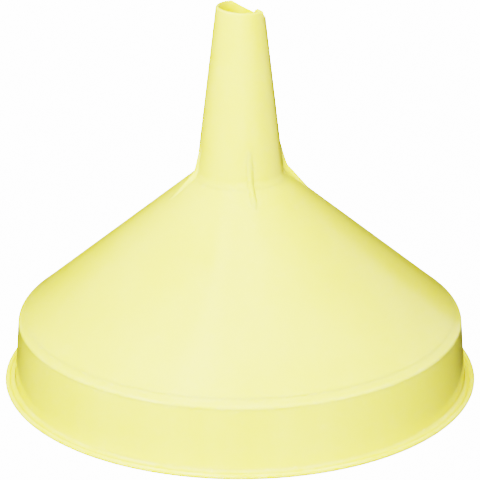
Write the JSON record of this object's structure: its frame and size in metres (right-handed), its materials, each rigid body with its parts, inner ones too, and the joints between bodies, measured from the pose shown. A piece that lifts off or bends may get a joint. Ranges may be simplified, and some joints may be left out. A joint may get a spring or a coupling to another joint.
{
  "type": "funnel",
  "caption": "Wide plastic pouring funnel with a flanged mouth, a short collar, a shallow cone and a tapered spout with vent ribs at its foot.",
  "frame": {"origin": "centre of the plane that the mouth rim rests on, on the funnel's axis", "axes": "+Z along the funnel's axis from the mouth to the spout's tip; -Y through the front vent rib, +X through the right one"},
  "size_m": [0.2499, 0.25, 0.2013],
  "materials": {
    "pale_yellow_plastic": "semi-gloss, slightly translucent natural polyethylene"
  },
  "bodies": {
    "root": {"mouth_rim": "pale_yellow_plastic", "collar": "pale_yellow_plastic", "shoulder": "pale_yellow_plastic", "cone": "pale_yellow_plastic", "spout": "pale_yellow_plastic", "gate_stub": "pale_yellow_plastic", "vent_rib_front": "pale_yellow_plastic", "vent_rib_right": "pale_yellow_plastic", "vent_rib_back": "pale_yellow_plastic", "vent_rib_left": "pale_yellow_plastic"}
  },
  "joints": []
}
